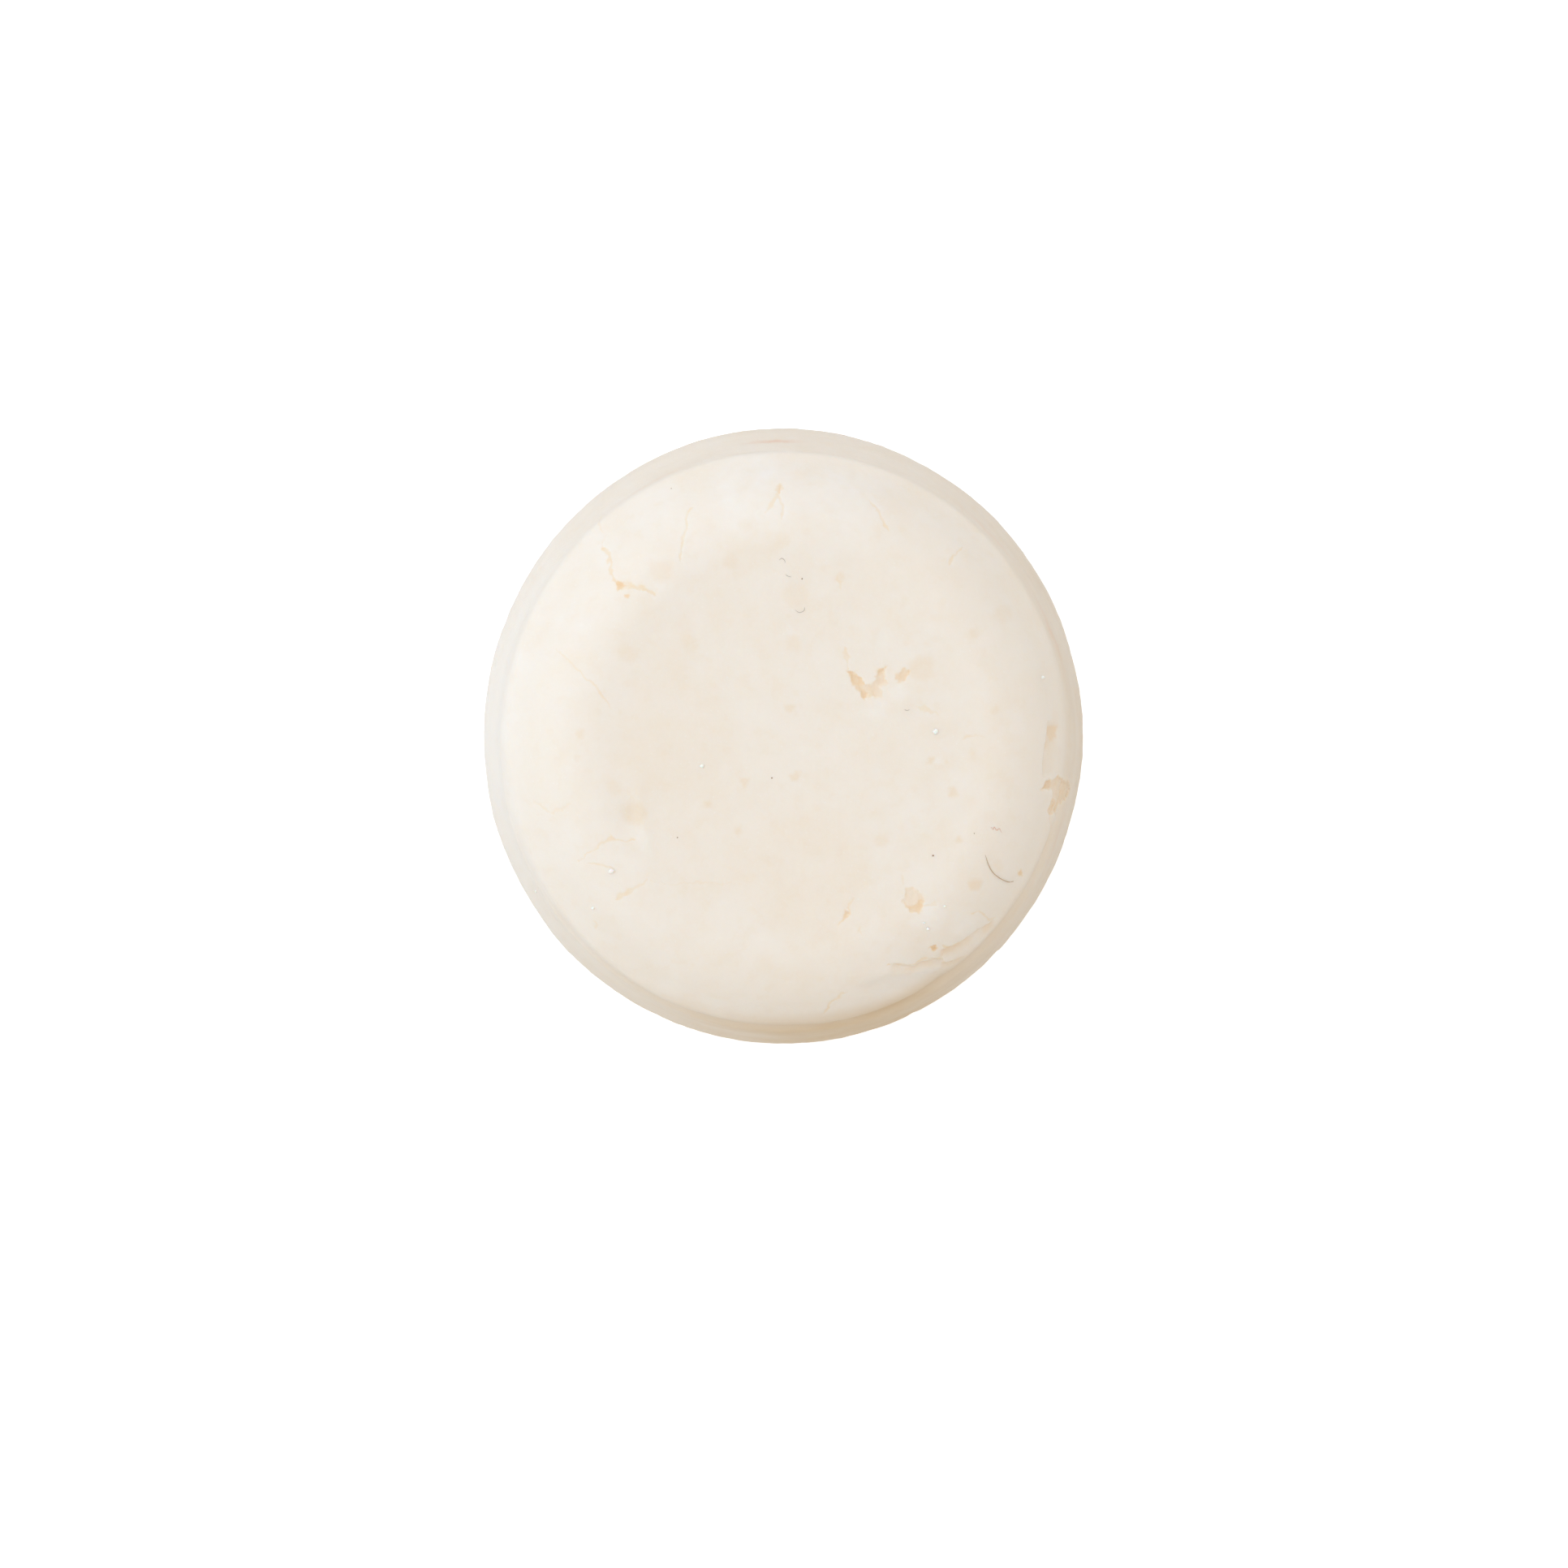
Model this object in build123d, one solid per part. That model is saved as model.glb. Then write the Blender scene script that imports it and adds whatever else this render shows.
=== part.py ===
from build123d import *
import os

# A hard, milled shaving soap puck: one solid piece of soap, pressed in a die.
# Millimetres. The origin is the centre of the flat underside, +Z is up through the
# lathering face, and +Y is the slightly longer way across.

# ---- driving dimensions ----
WIDTH = 70.0                      # across X at the widest level
LENGTH = 72.0                     # across Y: the puck left its die a little oval
HEIGHT = 22.0                     # underside to lathering face

# ---- levels of the edge, and how far each lies inside the widest level ----
BELLY_Z = 0.24 * HEIGHT           # top of the straight part of the wall
CREASE_Z = 0.69 * HEIGHT          # where the drafted wall meets the shoulder
CREASE_INSET = 3.0
CROWN_INSET = 8.3                 # where the shoulder's slope would reach the top

# ---- roundings ----
FOOT_ROUND = 3.6                  # underside to wall
BELLY_ROUND = 11.0                # where the draft begins
CREASE_ROUND = 1.2                # wall to shoulder
SHOULDER_ROUND = 9.6              # shoulder to lathering face

# ---- faults and wear: a plan outline and an even depth for each ----
CRATER_DEPTH = 1.1                # the V-shaped crater right of the middle
CRATER = [(5.9, 9.3), (6.8, 7.4), (7.2, 5.8), (8.2, 5.1), (9.3, 6.6),
          (10.9, 8.9), (9.6, 8.6), (8.5, 7.0), (7.7, 7.2)]
SIDE_PIT_DEPTH = 0.8              # the small pit by the crater's right arm
SIDE_PIT = [(11.6, 8.3), (12.6, 9.0), (13.3, 8.0), (12.2, 7.4)]
SQUARE_PIT_DEPTH = 0.9            # a grain pulled out near the front
SQUARE_PIT = [(12.5, -16.2), (14.6, -16.0), (15.1, -17.9), (13.4, -19.0), (12.3, -17.8)]
FLAKE_DEPTH = 0.55                # a thin flake torn off the front right of the shoulder
FLAKE = [(16.4, -24.7), (17.3, -23.0), (19.6, -21.7), (22.2, -20.2), (23.6, -21.0),
         (23.0, -22.9), (19.8, -24.4)]
CHIP_DEPTH = 1.2                  # the chip out of the right-hand edge
CHIP = [(29.0, -4.9), (30.2, -3.9), (34.0, -3.3), (34.0, -8.6), (30.6, -8.3),
        (30.1, -7.6), (30.9, -5.6)]


def oval(z, inset):
    """The puck's level section at one height, drawn in from the widest one by an inset."""
    return Pos(0, 0, z) * Ellipse(WIDTH / 2 - inset, LENGTH / 2 - inset)


def rounded_at(body, z, radius):
    """The body with its level edge at one height rounded."""
    edge = [e for e in body.edges()
            if abs(e.center().Z - z) < 0.01 and e.length > 2 * WIDTH]
    return fillet(edge, radius)


def moulded_form(inset=0.0):
    """The puck as pressed, or the same form drawn in by an inset at its sides and top."""
    top = HEIGHT - inset
    belly, crease, crown = (oval(z, sides + inset) for z, sides in (
        (BELLY_Z, 0), (CREASE_Z, CREASE_INSET), (top, CROWN_INSET)))
    body = extrude(oval(0, inset), amount=BELLY_Z)
    body += loft([belly, crease])
    body += loft([crease, crown])
    for z, radius in ((top, SHOULDER_ROUND), (CREASE_Z, CREASE_ROUND),
                      (BELLY_Z, BELLY_ROUND), (0, FOOT_ROUND)):
        body = rounded_at(body, z, radius)
    return body


def torn_out(outline, depth):
    """The soap missing inside a plan outline, down to an even depth below the surface."""
    plan = Pos(0, 0, CREASE_Z - 1.0) * make_face(Polyline(*outline, close=True))
    return extrude(plan, amount=HEIGHT) - moulded_form(depth)


def soap_puck():
    puck = moulded_form()
    for outline, depth in ((CRATER, CRATER_DEPTH), (SIDE_PIT, SIDE_PIT_DEPTH),
                           (SQUARE_PIT, SQUARE_PIT_DEPTH), (FLAKE, FLAKE_DEPTH),
                           (CHIP, CHIP_DEPTH)):
        puck -= torn_out(outline, depth)
    return puck


os.makedirs("parts", exist_ok=True)
export_step(soap_puck().solid(), "parts/soap_puck.step")
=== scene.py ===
"""A hard shaving soap puck: pressed, slightly oval, waxy ivory soap with cracks, pits and chips.

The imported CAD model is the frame. One dense mesh with the real wear stands for the puck,
and the loose crumbs, bristle and lint on its face are pieces of their own.
Sizes in this script are in millimetres until a mesh is made, and plan places are (x, y)
from the middle of the lathering face.
"""
import math

import bpy
import numpy as np
from mathutils import Matrix, Vector
from mathutils.geometry import delaunay_2d_cdt


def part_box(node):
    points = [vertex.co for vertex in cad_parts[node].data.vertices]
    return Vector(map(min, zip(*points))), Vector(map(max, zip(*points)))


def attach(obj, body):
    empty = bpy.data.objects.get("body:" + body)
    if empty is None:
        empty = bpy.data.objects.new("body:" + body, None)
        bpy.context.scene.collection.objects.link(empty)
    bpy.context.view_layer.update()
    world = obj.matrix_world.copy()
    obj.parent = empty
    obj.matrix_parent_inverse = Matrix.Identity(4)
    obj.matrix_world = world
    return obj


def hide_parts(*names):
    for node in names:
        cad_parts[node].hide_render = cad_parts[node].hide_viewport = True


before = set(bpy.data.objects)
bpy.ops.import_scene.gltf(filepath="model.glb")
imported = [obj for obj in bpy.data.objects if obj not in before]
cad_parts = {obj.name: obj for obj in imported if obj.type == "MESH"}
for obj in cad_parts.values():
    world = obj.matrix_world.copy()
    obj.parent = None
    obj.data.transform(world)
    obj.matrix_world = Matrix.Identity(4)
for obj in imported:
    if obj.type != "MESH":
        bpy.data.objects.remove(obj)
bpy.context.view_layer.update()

MM = 0.001                                  # one millimetre in Blender's metres
PUCK_LOW, PUCK_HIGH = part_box("soap_puck")
WIDTH = (PUCK_HIGH[0] - PUCK_LOW[0]) / MM
LENGTH = (PUCK_HIGH[1] - PUCK_LOW[1]) / MM
HEIGHT = (PUCK_HIGH[2] - PUCK_LOW[2]) / MM
RADIUS = WIDTH / 2
OVAL = LENGTH / WIDTH                       # Y radius over X radius

# ---- the edge: levels, insets from the widest level, and roundings ----
BELLY_Z = 0.24 * HEIGHT
CREASE_Z = 0.69 * HEIGHT
CREASE_INSET = 3.0
CROWN_INSET = 8.3
FOOT_ROUND = 3.6
BELLY_ROUND = 11.0
CREASE_ROUND = 1.2
SHOULDER_ROUND = 9.6

# ---- the groove in the crease: deepest at the front, a faint ridge at the back ----
GROOVE_DEPTH = 0.18
GROOVE_SWING = 0.40
GROOVE_DROP = 0.5                           # how much lower it runs at the front
GROOVE_WIDTH = 0.9

# ---- where the puck isn't quite even, by angle from +X ----
BULGE = 0.25                                # how far the wall stands out at the front right
BULGE_SIDE = -25
LEFT_FULLNESS = 0.9                         # how far the crease is swollen on the left
LEFT_FULLNESS_REACH = 3.0                   # above and below the crease
LEFT_SIDE = 180

# ---- mesh spacing ----
FACE_SPACING = 0.42                         # lathering face and shoulder
WALL_SPACING = 0.55
FINE_SPACING = 0.125                        # along cracks, pits and chips
FINE_REACH = 0.45                           # how far from them the fine mesh goes
FINE_SHAKE = 0.03                           # how far its points are pushed off their rows
FACE_SHARE = 0.8                            # of the way to the widest level, then the wall
RIM_GAP = 0.4                               # between the foot's ring of points and the rest
RIM_POINTS = 480                            # round the foot, where the underside begins
UNDERSIDE_RINGS = ((30.2, 480), (28.6, 240), (26.6, 240), (24.0, 240), (21.0, 120),
                   (17.5, 120), (13.5, 120), (9.0, 60), (4.5, 60))  # radius, points
UNDERSIDE_HOLLOWS = 0.10                    # about how far its soft hollows reach up
HOLLOWS_RADIUS = 28.0                       # inside which they are full

# ---- cracks: route over the face, width, and how much amber they show ----
CRACK_STEEPNESS = 0.08                      # depth over width
CRACKS = {
    "upper left top": ([(-21.2, 25.8), (-21.3, 24.6), (-20.9, 23.5), (-21.2, 22.3)], 0.26, 0.22),
    "upper left": ([(-21.2, 22.3), (-20.6, 21.7), (-20.4, 20.9), (-20.5, 20.0), (-20.1, 19.2),
                    (-19.8, 18.4)], 0.50, 0.50),
    "upper left tail": ([(-19.5, 18.2), (-18.4, 18.1), (-17.0, 17.8), (-15.6, 17.2)], 0.60, 0.48),
    "upper middle": ([(-11.4, 27.0), (-11.9, 25.9), (-11.8, 24.7), (-12.3, 23.5), (-12.7, 22.3),
                      (-12.7, 21.1)], 0.46, 0.34),
    "left": ([(-26.7, 11.4), (-24.9, 9.4), (-23.1, 7.7), (-21.7, 6.2), (-20.6, 4.3)],
             0.22, 0.30),
    "top fork left": ([(-1.2, 29.6), (-1.8, 28.1), (-3.2, 26.3)], 0.34, 0.30),
    "top fork right": ([(-1.6, 28.2), (-1.1, 27.3), (-1.4, 25.9)], 0.32, 0.28),
    "top right": ([(8.9, 27.9), (9.8, 26.4), (10.4, 25.0), (11.1, 24.0)], 0.28, 0.34),
    "upper right": ([(19.4, 22.6), (18.4, 21.7), (17.5, 20.4)], 0.28, 0.34),
    "lower left": ([(-24.2, -12.8), (-22.6, -11.8), (-21.7, -10.6), (-19.9, -10.4),
                    (-18.0, -10.5)], 0.32, 0.36),
    "lower left branch": ([(-23.3, -13.0), (-21.5, -13.2), (-20.0, -13.8)], 0.28, 0.34),
    "lower left front": ([(-20.1, -17.2), (-18.8, -16.5), (-17.3, -15.6), (-16.4, -15.0)],
                         0.34, 0.36),
    "front hairline": ([(-16.0, -15.2), (-13.2, -15.6), (-10.7, -15.3), (-6.1, -15.4)],
                       0.16, 0.16),
    "left edge": ([(-29.3, -6.3), (-27.1, -7.5), (-24.8, -6.5)], 0.32, 0.22),
    "left nick": ([(-22.6, -19.5), (-22.1, -20.1), (-22.3, -20.8)], 0.24, 0.22),
    "front edge": ([(3.8, -31.0), (4.6, -29.2), (5.4, -28.5), (6.3, -28.0)], 0.34, 0.40),
    "right of flake": ([(20.7, -19.1), (21.4, -19.0), (22.8, -20.2), (23.6, -20.0)],
                       0.28, 0.40),
    "back": ([(5.1, 19.7), (5.0, 18.8), (5.6, 17.7)], 0.24, 0.24),
    "right of crater": ([(13.9, 4.6), (15.4, 4.2), (16.4, 3.4)], 0.26, 0.26),
    "right": ([(19.1, 0.8), (20.6, 1.1), (22.1, 0.9)], 0.28, 0.22),
    "star": ([(7.1, -17.2), (6.4, -17.8), (6.2, -18.5), (6.4, -19.0), (5.9, -19.4),
              (5.5, -19.8), (4.9, -20.7)], 0.20, 0.42),
    "flake front": ([(10.9, -24.8), (12.0, -24.9), (14.1, -25.2), (14.6, -24.7), (15.9, -24.6),
                     (17.0, -24.4), (17.9, -25.3), (19.0, -24.9), (20.6, -24.6)], 0.30, 0.46),
    "flake back": ([(17.0, -23.0), (17.8, -23.3), (19.5, -22.7), (21.0, -21.8)], 0.32, 0.50),
    "above crater": ([(5.8, 11.2), (6.0, 10.2), (6.2, 8.7)], 0.26, 0.35),
    "pit arm": ([(14.8, -18.1), (16.3, -18.1)], 0.40, 0.30),
    "pit notch": ([(12.6, -14.7), (12.8, -16.0)], 0.34, 0.25),
}

# ---- holes with steep ragged sides: outline, depth, and how much stain they hold ----
PITS = {
    "crater": ([(6.1, 8.7), (6.4, 7.7), (6.6, 7.1), (7.2, 6.7), (7.4, 6.0), (8.1, 5.2),
                (8.6, 5.7), (9.4, 5.6), (9.9, 5.7), (10.2, 6.1), (10.1, 6.6), (10.7, 7.1),
                (10.5, 8.5), (10.6, 9.1), (9.5, 8.7), (9.3, 8.4), (9.3, 7.7), (9.0, 7.2),
                (8.1, 7.1), (7.5, 8.0), (7.1, 8.5)], 0.11, 0.47),
    "crater left arm": ([(6.1, 8.7), (6.4, 7.7), (6.6, 7.1), (7.2, 6.7), (7.3, 6.1), (8.1, 5.2),
                         (8.5, 5.9), (8.0, 6.4), (8.1, 7.1), (7.5, 8.0), (7.1, 8.5)],
                        0.04, 0.78),
    "crater right arm": ([(9.4, 8.7), (9.3, 8.0), (10.0, 7.9), (10.5, 8.3), (10.7, 9.2)],
                         0.03, 0.62),
    "side pit": ([(11.5, 7.6), (11.8, 8.3), (12.3, 8.9), (13.0, 8.9), (13.3, 8.6), (13.0, 8.1),
                  (12.8, 7.5), (12.0, 7.3)], 0.09, 0.72),
    "square pit": ([(12.7, -16.1), (13.4, -16.1), (14.1, -16.2), (14.7, -16.7), (15.0, -17.5),
                    (14.8, -18.6), (14.1, -19.0), (13.2, -18.8), (12.9, -18.4), (12.3, -17.8),
                    (12.6, -17.2)], 0.09, 0.36),
    "square pit low side": ([(12.3, -17.6), (13.1, -18.0), (14.0, -18.0), (14.3, -17.3),
                             (14.9, -17.3), (14.8, -18.6), (14.1, -19.0), (13.2, -18.8),
                             (12.9, -18.4)], 0.05, 0.78),
    "star": ([(6.0, -18.4), (6.7, -18.9), (6.3, -19.3), (5.6, -19.8), (5.8, -19.0)], 0.14, 0.80),
    "star neighbour": ([(7.6, -20.4), (7.3, -21.2), (7.9, -21.3)], 0.08, 0.30),
    "flake pit": ([(15.6, -22.9), (16.5, -22.8), (16.7, -23.3), (16.2, -23.7)], 0.20, 1.00),
    "crack corner": ([(-19.9, 18.8), (-19.4, 18.5), (-18.6, 18.2), (-19.2, 17.9),
                      (-19.7, 17.7)], 0.08, 1.00),
    "crack drop": ([(-19.1, 17.3), (-18.5, 17.3), (-18.5, 16.9), (-19.1, 16.9)], 0.06, 0.80),
    "top fork": ([(-1.9, 29.0), (-1.2, 29.8), (-0.9, 29.2), (-1.4, 28.4)], 0.07, 0.45),
    "hair end": ([(26.0, -14.6), (26.6, -14.3), (26.8, -15.2), (26.2, -15.4)], 0.10, 0.80),
    "edge chip": ([(28.3, -5.2), (29.0, -4.8), (29.3, -4.2), (29.7, -3.9), (30.1, -4.3),
                   (30.8, -3.7), (31.6, -4.1), (32.4, -4.6), (32.8, -5.6), (32.3, -6.6),
                   (31.4, -7.3), (31.0, -8.3), (30.2, -8.4), (29.5, -8.2), (29.8, -7.3),
                   (30.3, -5.9), (30.1, -5.5), (29.1, -5.2)], 0.22, 0.44),
    "edge chip upper": ([(28.5, -5.1), (29.2, -4.6), (29.8, -4.0), (30.4, -4.7), (29.9, -5.3)],
                        0.08, 0.64),
    "edge chip lower": ([(29.8, -7.7), (30.3, -6.3), (31.0, -6.8), (30.7, -8.2)], 0.08, 0.66),
}

# ---- thin layers gone on the left-hand side of a line: route, reach, depth, stain ----
STEPS = {
    "right scar": ([(29.4, 3.0), (29.3, 1.9), (29.2, 0.6), (28.8, -0.8), (28.7, -2.2),
                    (28.9, -4.2)], 3.2, 0.16, 0.30),
    "flake back": ([(23.6, -20.1), (22.2, -20.9), (21.2, -21.4), (19.5, -22.6), (17.8, -23.3),
                    (17.0, -23.0)], 2.2, 0.24, 0.45),
    "flake front": ([(20.6, -24.6), (19.0, -24.9), (17.9, -25.3), (17.0, -24.5),
                     (15.9, -24.6), (14.6, -24.8), (14.1, -25.2), (12.0, -24.9),
                     (10.9, -24.8)], 1.6, 0.18, 0.40),
    "below chip": ([(29.8, -8.4), (30.2, -10.2), (29.8, -12.0), (29.2, -13.4)],
                   1.4, 0.10, 0.18),
}

# ---- shallow layers gone inside an outline: outline, depth, softness, stain ----
SCARS = {
    "right scar patch": ([(29.4, 2.2), (29.4, 0.9), (29.8, 0.2), (30.6, 0.4), (30.8, 2.0)],
                         0.08, 0.25, 0.55),
    "below flake": ([(6.5, -27.4), (11.5, -25.4), (17.0, -25.6), (20.5, -25.2),
                     (17.5, -28.0), (10.0, -29.6)], 0.25, 1.80, 0.0),
    "plateau foot": ([(-16.3, 21.4), (-13.2, 21.3), (-13.0, 18.6), (-15.0, 18.0),
                      (-16.6, 19.2)], 0.08, 1.10, 0.14),
}

# ---- soft hollows (negative) and swellings (positive): centre, radii, turn, height ----
SWELLS = [
    ((1.0, -1.0), (16.0, 17.0), 0, -0.14),
    ((25.0, 15.5), (2.6, 5.0), 30, -0.30),
    ((-18.7, -7.9), (1.5, 1.9), 0, -0.20),
    ((-16.6, 21.4), (3.4, 2.6), 20, 0.22),
    ((-17.1, -8.0), (0.8, 4.2), 12, 0.14),
    ((12.4, 5.2), (1.6, 2.0), -40, 0.14),
    ((15.9, -20.0), (2.0, 1.6), 0, 0.10),
    ((-10.0, 9.0), (9.0, 6.0), 30, -0.10),
    ((8.0, -6.0), (8.0, 9.0), 0, 0.07),
    ((19.5, -21.4), (2.6, 0.9), 30, 0.12),
    ((13.0, -26.0), (5.0, 0.7), 4, 0.14),
]

# ---- darker see-through spots and broad patches: centre, radius and strength ----
WAXY_SPOTS = [
    ((15.8, -1.5), 0.50, 0.8), ((18.1, -5.3), 0.65, 0.8), ((18.9, -10.7), 0.40, 0.8),
    ((20.7, -15.8), 0.75, 1.0), ((23.1, 4.2), 0.55, 0.5), ((20.4, 12.7), 0.60, 0.5),
    ((-9.7, -6.3), 0.45, 0.7), ((-5.5, -4.0), 0.45, 0.7), ((-6.2, -9.4), 0.50, 0.7),
    ((0.3, -3.4), 0.60, 0.8), ((-0.4, 4.3), 0.45, 0.7), ((10.0, -10.7), 0.75, 0.5),
    ((3.8, -17.7), 0.45, 0.6), ((-24.0, 1.6), 0.65, 0.6), ((9.2, -7.3), 0.45, 0.4),
    ((-24.4, -1.1), 0.45, 0.4), ((0.3, 17.1), 1.50, 0.35), ((-11.6, 11.7), 1.00, 0.35),
    ((-18.6, 10.5), 1.10, 0.35), ((0.0, 11.7), 0.90, 0.4), ((5.3, 19.0), 0.50, 0.5),
    ((-5.1, 25.2), 1.00, 0.35), ((-1.2, 23.3), 1.00, 0.35), ((-7.0, 20.9), 1.00, 0.3),
    ((-17.9, -7.4), 1.40, 0.75), ((-20.1, -4.6), 0.90, 0.35), ((23.5, -13.8), 0.60, 0.5),
    ((24.4, 15.1), 1.10, 0.4), ((20.5, -1.0), 0.55, 0.4), ((17.6, -1.9), 0.30, 0.6),
    ((-13.0, 1.0), 7.50, 0.18), ((1.0, -14.0), 7.50, 0.26), ((14.6, 8.8), 1.50, 0.55),
]

# ---- chalky places and painted light: centre, radius and strength ----
CHALKY_AND_LIT_SPOTS = [
    ((9.4, 4.3), 1.3, 0.5), ((15.9, -19.4), 1.7, 0.6), ((14.2, -20.2), 0.9, 0.5),
    ((-21.0, 20.5), 1.0, 0.3), ((18.2, -3.2), 0.7, 0.4), ((12.0, 6.0), 1.1, 0.4),
    ((-17.0, -10.5), 1.1, 0.45), ((13.5, -25.8), 1.0, 0.4), ((17.4, -23.9), 0.5, 0.8),
    ((-14.6, 18.3), 0.9, 0.4), ((16.4, -1.6), 0.5, 0.6), ((19.5, -20.2), 1.8, 0.45),
    # the broad spots on the back of the shoulder and the one below the flake are painted light
    ((-4.0, 28.0), 5.0, 0.55), ((6.0, 27.5), 4.5, 0.5), ((22.0, -22.6), 1.0, 0.4),
    ((12.5, -27.0), 3.2, 0.35),
]

# ---- rust-coloured smears on the wall: angle from +X, height, half lengths, strength ----
WALL_SMEARS = [
    (92.5, 10.2, (3.6, 0.55), 1.0),
    (45.0, 12.5, (7.0, 0.7), 0.35),
    (22.0, 13.2, (6.0, 0.8), 0.35),
    (118.0, 13.0, (6.0, 0.6), 0.25),
    (-20.0, 12.0, (5.0, 0.8), 0.30),
]

# ---- painted light, paler bands on the shoulder and wall: angle from +X, inset and width, share, narrowness ----
PAINTED_LIGHT_BANDS = ((-20, 6.5, 2.4, 0.40, 1.5), (185, 1.4, 2.0, 0.60, 5))

# ---- painted shade in the crease and down the wall, with some older, browner soap: on each side, its angle from +X, most and narrowness ----
AGE_AND_SHADE_ALL_ROUND = 0.03
AGE_AND_SHADE_FRONT = -83                            # angle from +X of its darkest side, where the painted shade is strongest
AGE_AND_SHADE_SIDES = ((AGE_AND_SHADE_FRONT, 0.90, 6), (108, 0.24, 3), (-15, 0.33, 1), (-135, 0.13, 4))
AGE_AND_SHADE_RISE = 0.9                             # how far it reaches above the crease
AGE_AND_SHADE_FRONT_RISE = 2.3                       # how much further at the front
AGE_AND_SHADE_FADE = 2.6                             # the height over which it sets in

# ---- small bites out of the wall: angle from +X, height, width, depth (a bump if below 0) ----
EDGE_NICKS = [
    (165.8, 6.0, 0.8, 0.22), (162.0, 7.5, 0.6, 0.16), (147.5, 6.5, 1.0, 0.18),
    (-45.5, 5.0, 1.6, 0.45), (-47.5, 6.5, 0.8, 0.30), (-64.0, 5.5, 1.2, 0.15),
    (-8.5, 8.0, 0.7, -0.30), (-52.0, 4.5, 1.0, 0.25), (-120.0, 6.0, 0.9, 0.14),
]

# ---- loose dirt on the face ----
CRUMBS = [
    ((16.2, 1.7), 0.34), ((-10.3, -2.1), 0.24), ((-20.6, -14.0), 0.34),
    ((-22.6, -18.4), 0.20), ((-29.0, -17.4), 0.22), ((28.8, 7.6), 0.24),
    ((17.3, -18.2), 0.16), ((15.4, -20.8), 0.18), ((14.9, -20.1), 0.14),
]
CRUMB_LIFT, SPECK_LIFT = 0.15, 0.10         # a lump's middle above the face, over its size
LUMP_SHAPE = (1, 0.85, 0.45)                # its half length, width and height, over its size
BRISTLE = [(21.9, -12.4), (22.3, -13.5), (22.9, -14.5), (23.9, -15.3), (25.0, -15.8),
           (25.8, -15.7)]
BRISTLE_THICK = 0.08
BRISTLE_ARCH = 0.12                         # how far its middle stands off the face
RED_FIBRE = [(22.5, -9.2), (22.8, -9.5), (22.9, -9.2), (23.2, -9.6), (23.5, -9.4),
             (23.8, -9.9)]
LINT = [
    [(-1.6, 21.1), (-1.3, 21.3), (-1.0, 21.1), (-0.9, 20.8)],
    [(-0.9, 19.5), (-0.6, 19.3), (-0.2, 19.2)],
    [(0.2, 15.5), (0.7, 15.2), (1.2, 15.4), (1.3, 15.8)],
    [(12.6, 4.2), (12.9, 4.1), (13.2, 4.2)],
]
LINT_THICK = 0.05
SPECKS = [((1.0, 19.0), 0.09), ((15.9, -12.4), 0.11), ((-13.1, -10.2), 0.08),
          ((-2.4, -3.5), 0.09), ((20.6, -9.9), 0.06), ((-13.5, 29.1), 0.08)]

# ---- colours, as linear red, green, blue ----
IVORY = (0.84, 0.765, 0.68)
WAXY = (0.825, 0.715, 0.585)
SPOT = (0.815, 0.680, 0.525)
# chalk colour, also used for painted light
PALE_CHALK_AND_LIGHT = (0.86, 0.805, 0.745)
# painted shade of the crease and wall, with some older, browner soap
BROWN_AGE_AND_SHADE = (0.68, 0.53, 0.36)
STAIN = (0.83, 0.605, 0.37)
AMBER = (0.83, 0.645, 0.41)
RUST = (0.78, 0.56, 0.42)
CRUMB_PALE = (0.94, 0.92, 0.88)
SPECK_BROWN = (0.42, 0.28, 0.17)
BRISTLE_BROWN = (0.62, 0.43, 0.25)
FIBRE_RED = (0.90, 0.42, 0.30)
LINT_GREY = (0.55, 0.50, 0.45)

# ---- the soap's see-through depth and surface grain ----
GLOW_SHARE = 0.45
GLOW_COLOURS = (1.0, 0.8, 0.6)              # how far red, green and blue light go in
GLOW_DEPTH = 1.3
SOAP_IOR = 1.46
GRAIN_STRENGTH = 0.60
GRAIN_HEIGHT = 0.06
GRIT_SHARE, DRAG_SHARE = 0.55, 0.45         # of the grain's height
CRUMB_ROUGHNESS = 0.6
CRUMB_GLOW_SHARE = 0.3
CRUMB_GLOW_DEPTH = 0.4
FIBRE_ROUGHNESS = 0.4

# ---- camera ----
CAMERA_PLACE = (-32.0, 32.0, 512.0)
CAMERA_AIM = (0.35, -5.8, 0.0)
CAMERA_LENS = 100.0

# ---- light: soft boxes by angle from +X, angle above the floor, watts and colour ----
LAMP_DISTANCE = 1.2
LAMP_SIZE = 0.7
LAMPS = {
    "left_box": (180, 20, 2.4, (0.76, 1.00, 1.15)),
    "back_left_box": (135, 45, 2.5, (0.78, 1.00, 1.45)),
    "overhead_box": (90, 70, 1.9, (0.78, 1.00, 1.10)),
}
ROOM_LIGHT = (0.82, 0.783, 0.73)
FLOOR_GREY = 0.80
FLOOR_ROUGHNESS = 0.9
FLOOR_HALF = 1.5                            # metres
FLOOR_GLOW = 0.55                           # so that the floor photographs nearly white


# =============================== shared numeric helpers ===============================

def lattice_value(cell, seed):
    """A repeatable random value in -1..1 for each whole-numbered cell."""
    with np.errstate(over="ignore"):
        h = (cell[..., 0] * 374761393 + cell[..., 1] * 668265263
             + cell[..., 2] * 2147483629 + seed * 1274126177).astype(np.uint32)
        h = (h ^ (h >> np.uint32(13))) * np.uint32(1274126177)
        h = (h ^ (h >> np.uint32(16))) * np.uint32(2246822519)
        h = h ^ (h >> np.uint32(15))
    return h.astype(np.float64) / 2147483647.5 - 1.0


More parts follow.
